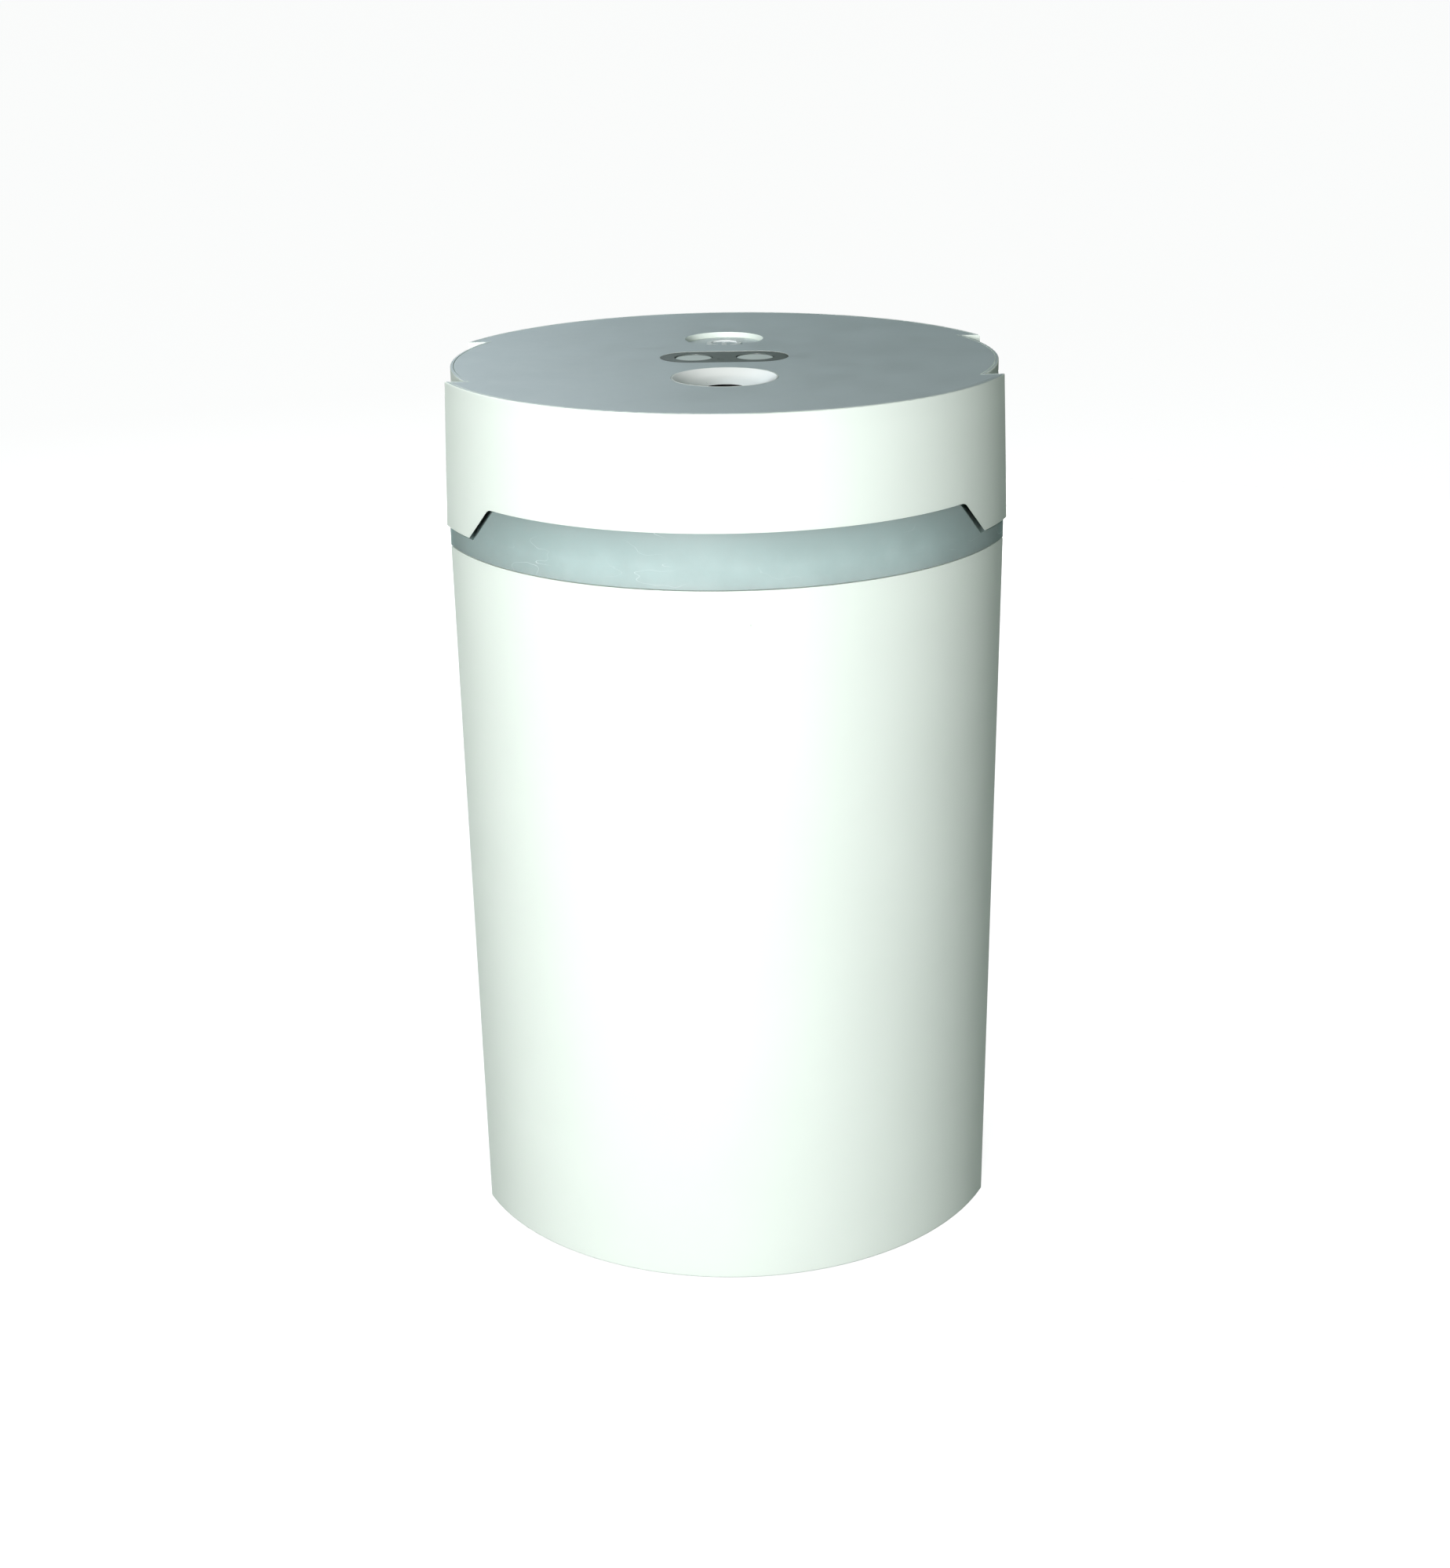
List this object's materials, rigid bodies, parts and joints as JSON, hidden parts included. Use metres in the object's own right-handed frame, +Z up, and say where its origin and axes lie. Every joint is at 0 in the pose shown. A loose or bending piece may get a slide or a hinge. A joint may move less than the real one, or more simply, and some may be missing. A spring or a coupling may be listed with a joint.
{
  "type": "air purifier",
  "caption": "Round white tabletop mist-type air purifier: fluted water tank, frosted light ring, lift-off head with mist nozzle, two keys and power button, wick tube inside.",
  "frame": {"origin": "on the floor, at the centre of the foot ring, under the tank axis", "axes": "+Z up along the tank axis; the front, with the mist nozzle, faces -Y; the hand flutes face +X and -X"},
  "size_m": [0.0792, 0.0848, 0.128],
  "materials": {
    "white_shell": "satin moulded white plastic",
    "top_grey": "satin cool light grey plastic",
    "cup_white": "satin white plastic",
    "dark_bezel": "smooth dark grey plastic",
    "key_grey": "frosted light grey plastic",
    "icon_white": "pale inlay",
    "frosted_ring": "frosted translucent pale blue plastic",
    "silicone": "matte soft silicone",
    "ceramic_white": "fired ceramic with silvered face",
    "steel": "bright steel",
    "board": "solder mask over glass laminate",
    "switch_black": "moulded black plastic",
    "ferrite": "dark ferrite",
    "can_metal": "bright can",
    "pin_metal": "plated pins",
    "led_white": "lamp chip with pale phosphor",
    "wire": "insulated wire",
    "clear_plastic": "pale milky plastic",
    "cotton": "bonded cotton fibre"
  },
  "bodies": {
    "tank": {"tank_body": "white_shell", "foot_ring": "silicone"},
    "head": {"cap_shell": "white_shell", "top_plate": "top_grey", "key_bezel": "dark_bezel", "light_ring": "frosted_ring", "led_board": "board", "ring_leds": "led_white", "head_chassis": "white_shell", "tank_seal": "silicone", "nozzle_cup": "cup_white", "upper_disc_seal": "silicone", "lower_disc_seal": "silicone", "piezo_ring": "ceramic_white", "mesh_disc": "steel", "disc_leads": "wire", "circuit_board": "board", "tact_switches": "switch_black", "driver_chip": "switch_black", "inductor": "ferrite", "capacitor": "can_metal", "led_link_pins": "pin_metal", "usb_socket": "steel", "chassis_screws": "steel", "board_screws": "steel"},
    "power_button": {"power_button": "top_grey", "power_icon": "icon_white"},
    "mode_key": {"mode_key": "key_grey"},
    "light_key": {"light_key": "key_grey"},
    "wick_tube": {"wick_tube": "clear_plastic", "wick_tube_cap": "white_shell", "wick_spring": "steel"},
    "wick": {"wick": "cotton"}
  },
  "joints": [
    {"name": "head_lift", "type": "slide", "parent": "tank", "child": "head", "axis": [0, 0, 1], "range_m": [0, 0.1]},
    {"name": "power_press", "type": "slide", "parent": "head", "child": "power_button", "axis": [0, 0, -1], "range_m": [0, 0.0006], "stiffness_N_per_m": 900},
    {"name": "mode_press", "type": "slide", "parent": "head", "child": "mode_key", "axis": [0, 0, -1], "range_m": [0, 0.0005], "stiffness_N_per_m": 700},
    {"name": "light_press", "type": "slide", "parent": "head", "child": "light_key", "axis": [0, 0, -1], "range_m": [0, 0.0005], "stiffness_N_per_m": 700},
    {"name": "wick_tube_pull", "type": "slide", "parent": "head", "child": "wick_tube", "axis": [0, 0, -1], "range_m": [0, 0.014]},
    {"name": "wick_press", "type": "slide", "parent": "wick_tube", "child": "wick", "axis": [0, 0, -1], "range_m": [0, 0.003], "stiffness_N_per_m": 150, "springref_m": -0.002, "deforming": ["wick_spring"]}
  ]
}
